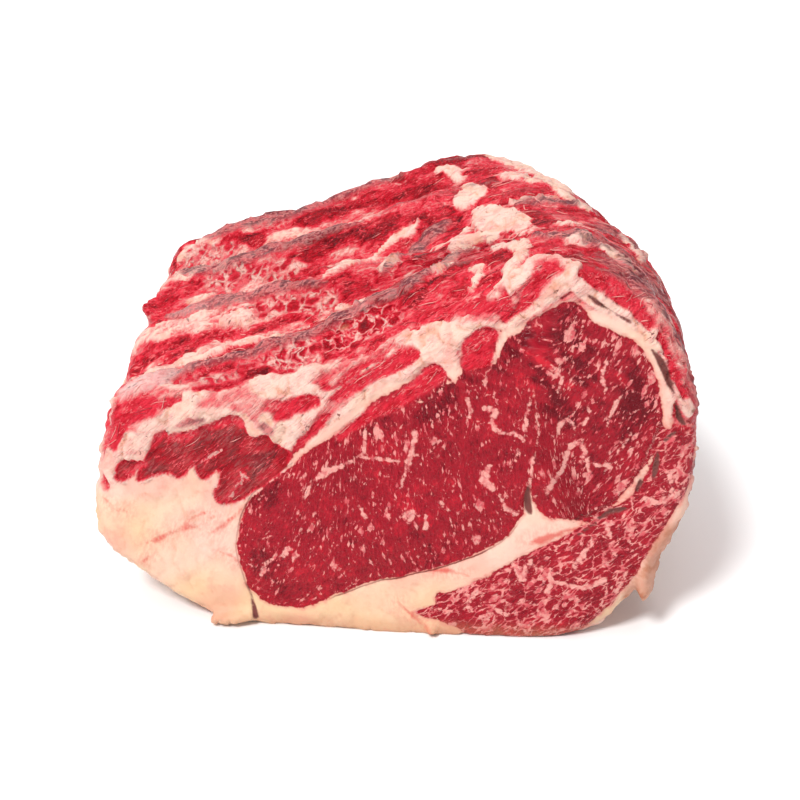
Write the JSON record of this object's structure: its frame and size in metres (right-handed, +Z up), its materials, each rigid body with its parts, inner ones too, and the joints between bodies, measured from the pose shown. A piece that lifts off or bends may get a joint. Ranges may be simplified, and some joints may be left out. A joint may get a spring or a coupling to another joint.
{
  "type": "boneless ribeye roast",
  "caption": "Raw boneless beef ribeye roast with a marbled front cut, ridged rib side and a flat fat underside to rest on.",
  "frame": {"origin": "middle of the footprint, on the surface the roast lies on", "axes": "+X from the thin lip to the thick chine side, +Y from the front cut to the rear cut, +Z up"},
  "size_m": [0.2618, 0.2282, 0.1614],
  "materials": {
    "raw_beef": "moist raw beef, lean with fat"
  },
  "bodies": {
    "root": {"ribeye_roast": "raw_beef"}
  },
  "joints": []
}
